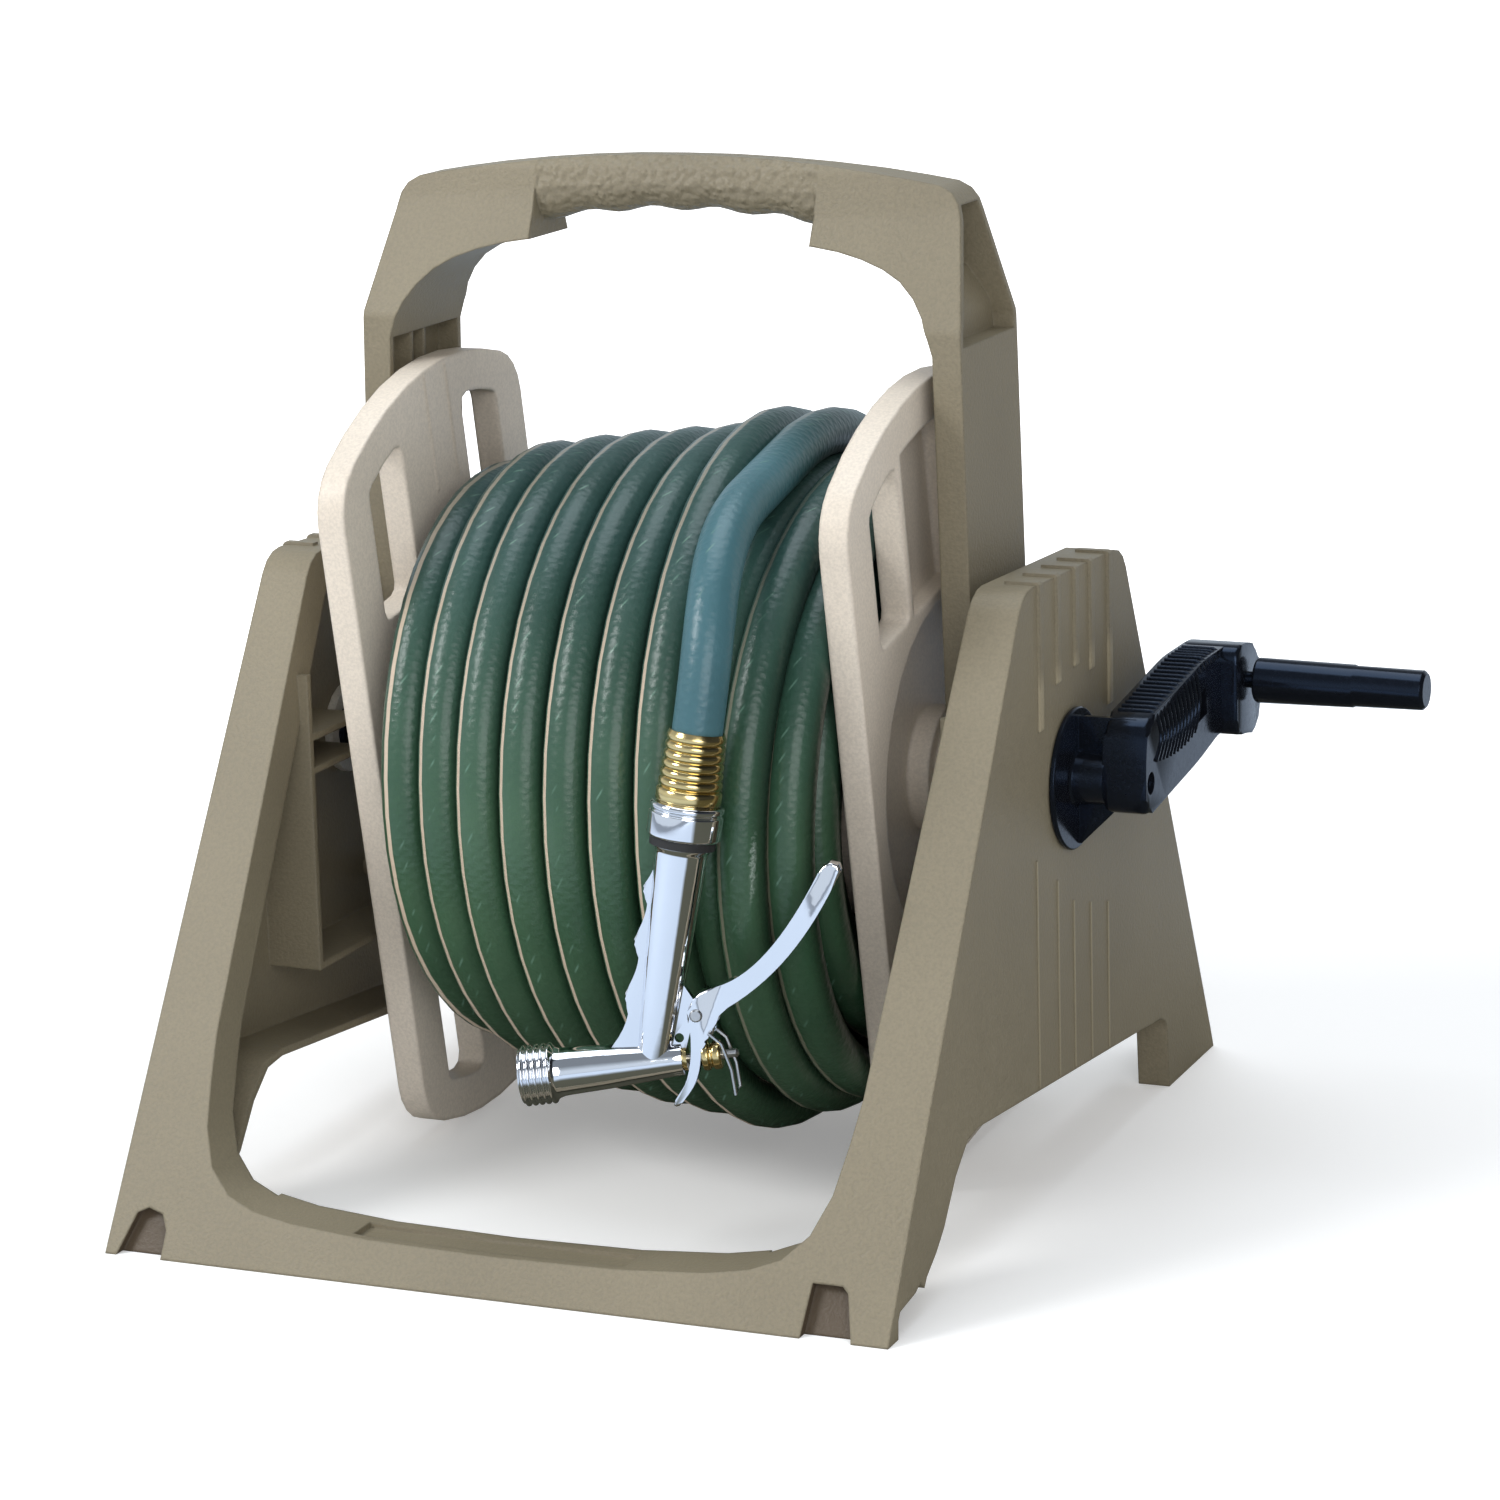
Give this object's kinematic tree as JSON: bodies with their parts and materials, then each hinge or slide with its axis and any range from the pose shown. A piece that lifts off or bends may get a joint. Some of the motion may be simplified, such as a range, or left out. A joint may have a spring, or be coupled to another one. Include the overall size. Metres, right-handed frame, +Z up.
{
  "type": "hose reel cart",
  "caption": "Portable garden hose reel: moulded base with carry handle, cranked drum, wound hose, brass end ferrule and a pistol spray nozzle resting on the winding.",
  "frame": {"origin": "centre of the footprint on the floor, under the middle of the overall box", "axes": "+X along the reel axis to the crank side, -Y to the front bar, +Z up"},
  "size_m": [0.53, 0.459, 0.4719],
  "materials": {
    "taupe_plastic": "fine moulded texture",
    "beige_plastic": "satin moulded plastic",
    "black_plastic": "glossy moulded plastic",
    "natural_nylon": "satin nylon",
    "hose_vinyl": "satin vinyl with one pale stripe",
    "brass": "turned and polished",
    "chrome": "bright plating",
    "zinc_steel": "bright zinc plating",
    "black_rubber": "matte rubber"
  },
  "bodies": {
    "frame": {"base_frame": "taupe_plastic", "handle": "taupe_plastic", "left_bearing": "natural_nylon", "right_bearing": "natural_nylon", "inlet_tube": "black_plastic", "inlet_retainer": "natural_nylon", "inlet_seal_outer": "black_rubber", "inlet_seal_inner": "black_rubber", "handle_screw_1": "zinc_steel", "handle_screw_2": "zinc_steel", "handle_screw_3": "zinc_steel", "handle_screw_4": "zinc_steel"},
    "reel": {"left_flange": "beige_plastic", "right_flange": "beige_plastic", "drum_front_half": "beige_plastic", "drum_rear_half": "beige_plastic", "outlet_elbow": "black_plastic", "inner_coupling": "brass", "hose_lead_in": "hose_vinyl", "hose_inner_layers": "hose_vinyl", "hose_outer_turns": "hose_vinyl", "hose_loose_end": "hose_vinyl", "hose_end_ferrule": "brass", "nozzle_washer": "black_rubber", "nozzle_body": "chrome", "trigger_pin": "zinc_steel", "gland_nut": "brass", "crank_arm": "black_plastic", "crank_bolt": "zinc_steel", "crank_nut": "zinc_steel", "grip_pin": "black_plastic"},
    "grip": {"crank_grip": "black_plastic"},
    "trigger": {"nozzle_trigger": "chrome"},
    "valve": {"valve_rod": "zinc_steel", "valve_spring": "zinc_steel"},
    "flow_adjuster": {"flow_nut": "brass"},
    "clip": {"hold_open_clip": "zinc_steel"}
  },
  "joints": [
    {"name": "reel_turn", "type": "hinge", "parent": "frame", "child": "reel", "pos_m": [-0.056, 0.0145, 0.19], "axis": [1, 0, 0], "continuous": true},
    {"name": "grip_spin", "type": "hinge", "parent": "reel", "child": "grip", "pos_m": [0.182, 0.1455, 0.211], "axis": [1, 0, 0], "continuous": true},
    {"name": "trigger_squeeze", "type": "hinge", "parent": "reel", "child": "trigger", "pos_m": [0.02081, -0.16334, 0.11782], "axis": [0.2636, -0.9615, 0.0781], "range_deg": [0, 14], "stiffness_Nm_per_rad": 4, "springref_deg": -6.88},
    {"name": "valve_slide", "type": "slide", "parent": "reel", "child": "valve", "axis": [0.9544, 0.2717, 0.124], "range_m": [0, 0.0048]},
    {"name": "flow_nut_turn", "type": "hinge", "parent": "valve", "child": "flow_adjuster", "pos_m": [0.00223, -0.17019, 0.09616], "axis": [0.9544, 0.2717, 0.124], "range_deg": [-360, 360]},
    {"name": "clip_swing", "type": "hinge", "parent": "trigger", "child": "clip", "pos_m": [0.02671, -0.16233, 0.11038], "axis": [0.2636, -0.9615, 0.0781], "range_deg": [-10, 70]}
  ],
  "couplings": [
    {"joint": "valve_slide", "follows": "trigger_squeeze", "m_per_rad": 0.0191}
  ]
}
